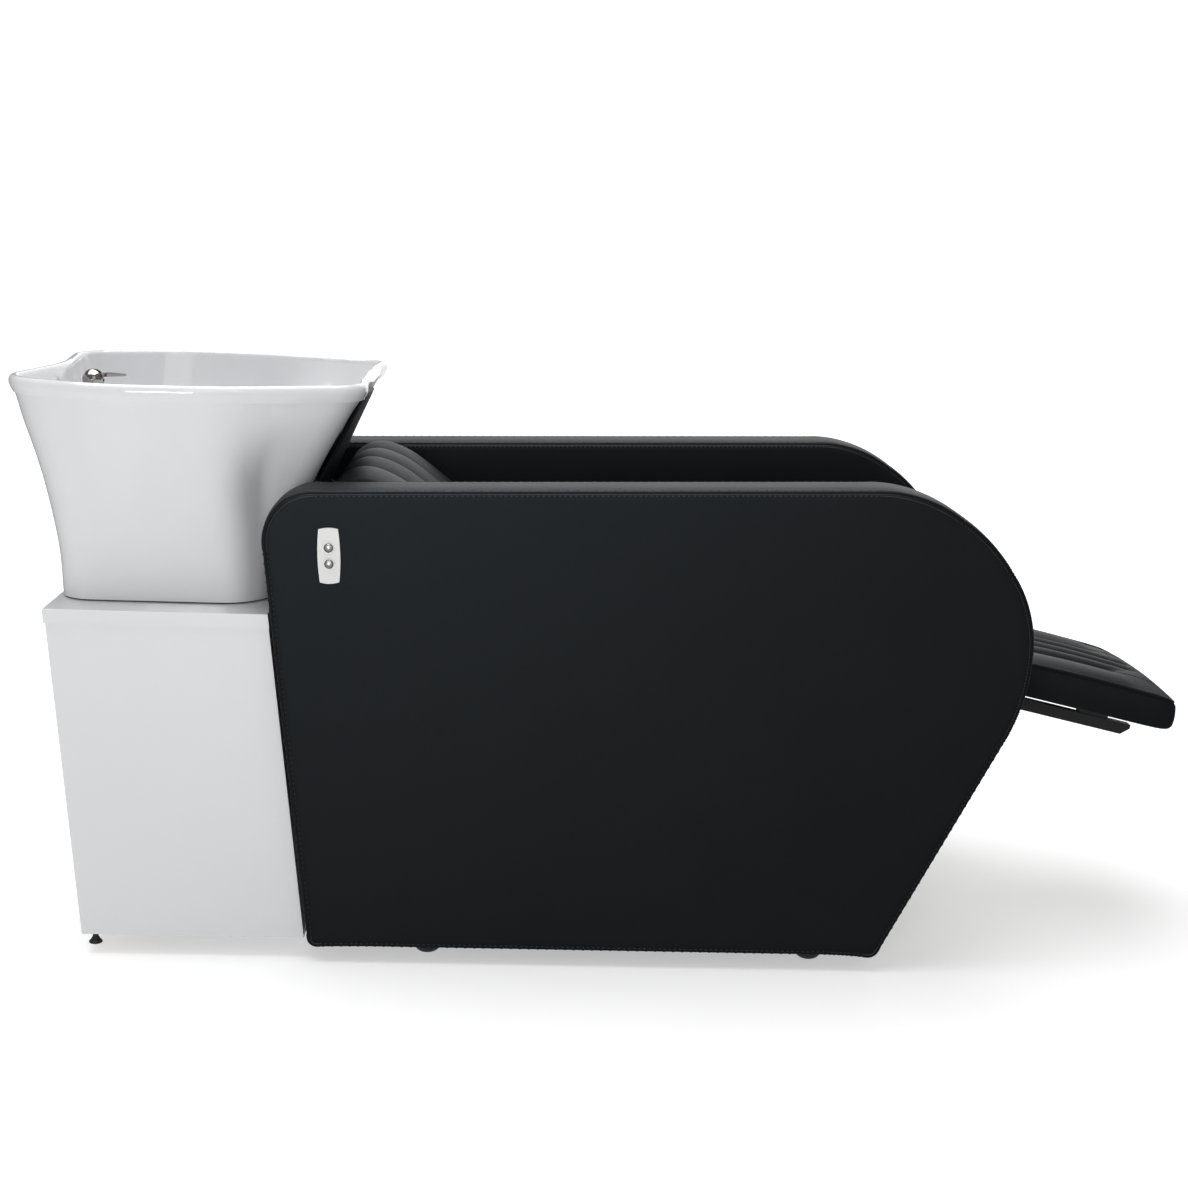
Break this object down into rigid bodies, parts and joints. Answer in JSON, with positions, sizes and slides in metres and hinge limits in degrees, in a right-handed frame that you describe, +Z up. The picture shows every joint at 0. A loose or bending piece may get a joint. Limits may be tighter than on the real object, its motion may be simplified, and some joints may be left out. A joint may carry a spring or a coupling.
{
  "type": "hairdressing sink",
  "caption": "Salon backwash unit: white ceramic bowl with neck notch on a slanted cabinet, joined to a black upholstered chair with a powered leg-rest.",
  "frame": {"origin": "on the floor, in the middle of the bounding box and on the mid plane between the arms", "axes": "+X from the bowl towards the leg-rest, +Y from the arm with the switch to the other arm, +Z up"},
  "size_m": [1.6838, 0.6464, 0.8],
  "materials": {
    "white_glaze": "white glazed sanitary ceramic",
    "white_lacquer": "white high-gloss laminate on board",
    "black_leatherette": "matt black leatherette over foam",
    "plywood": "bare plywood",
    "black_steel": "black powder coat",
    "zinc_steel": "bright zinc plated steel",
    "chrome": "polished chrome",
    "black_plastic": "black moulded plastic",
    "white_plastic": "white plumbing plastic",
    "silver_plastic": "silver painted plastic",
    "rubber": "black sealing rubber"
  },
  "bodies": {
    "base": {"actuator_clevis": "black_steel", "actuator_gland": "black_plastic", "actuator_motor": "black_plastic", "actuator_tube": "black_plastic", "arm_bolts": "zinc_steel", "arm_cores": "plywood", "arm_far": "black_leatherette", "arm_glides": "black_plastic", "arm_near": "black_leatherette", "back_board": "plywood", "back_cushion": "black_leatherette", "back_posts": "black_steel", "bottle_trap": "white_plastic", "bowl": "white_glaze", "bowl_bolts": "zinc_steel", "bowl_gasket": "rubber", "cabinet_back_panel": "white_lacquer", "cabinet_front": "white_lacquer", "cabinet_rails": "plywood", "cabinet_side_far": "white_lacquer", "cabinet_side_near": "white_lacquer", "cabinet_top": "white_lacquer", "clevis_pin": "zinc_steel", "control_box": "black_plastic", "cross_tubes": "black_steel", "handset_socket": "chrome", "legrest_shaft": "zinc_steel", "levelling_feet": "black_plastic", "link_bolts": "zinc_steel", "mixer_body": "chrome", "mixer_nut": "zinc_steel", "neck_brackets": "black_steel", "neck_panel": "black_leatherette", "panel_screws": "zinc_steel", "pivot_brackets": "black_steel", "seat_board": "plywood", "seat_cushion": "black_leatherette", "seat_rail_far": "black_steel", "seat_rail_near": "black_steel", "switch_box": "black_plastic", "switch_plate": "silver_plastic", "waste_flange": "chrome", "waste_nut": "white_plastic", "waste_outlet_pipe": "white_plastic", "waste_tailpipe": "white_plastic", "waste_washer": "rubber"},
    "legrest": {"legrest_pad": "black_leatherette", "legrest_board": "plywood", "legrest_bars": "black_steel", "legrest_sleeve": "black_steel", "legrest_crank": "black_steel", "crank_pin": "zinc_steel"},
    "actuator_rod": {"actuator_rod": "zinc_steel"},
    "button_up": {"button_up": "silver_plastic"},
    "button_down": {"button_down": "silver_plastic"},
    "mixer_cap": {"mixer_cap": "chrome", "lever_pin": "zinc_steel"},
    "mixer_lever": {"mixer_lever": "chrome"},
    "shower_handset": {"shower_handset": "chrome"}
  },
  "joints": [
    {"name": "legrest_lift", "type": "hinge", "parent": "base", "child": "legrest", "pos_m": [0.53, 0, 0.366], "axis": [0, 1, 0], "range_deg": [0, 72]},
    {"name": "actuator_stroke", "type": "slide", "parent": "base", "child": "actuator_rod", "axis": [1, 0, 0], "range_m": [-0.0777, 0]},
    {"name": "button_up_press", "type": "slide", "parent": "base", "child": "button_up", "axis": [0, 1, 0], "range_m": [0, 0.002], "stiffness_N_per_m": 400},
    {"name": "button_down_press", "type": "slide", "parent": "base", "child": "button_down", "axis": [0, 1, 0], "range_m": [0, 0.002], "stiffness_N_per_m": 400},
    {"name": "mixer_swivel", "type": "hinge", "parent": "base", "child": "mixer_cap", "pos_m": [-0.767, 0, 0.776], "axis": [0, 0, 1], "range_deg": [-40, 40]},
    {"name": "mixer_lift", "type": "hinge", "parent": "mixer_cap", "child": "mixer_lever", "pos_m": [-0.763, 0, 0.78], "axis": [0, -1, 0], "range_deg": [0, 20]},
    {"name": "handset_pull", "type": "slide", "parent": "base", "child": "shower_handset", "axis": [0, 0, 1], "range_m": [0, 0.12]}
  ],
  "couplings": [
    {"joint": "actuator_stroke", "follows": "legrest_lift", "m_per_rad": -0.06175}
  ]
}
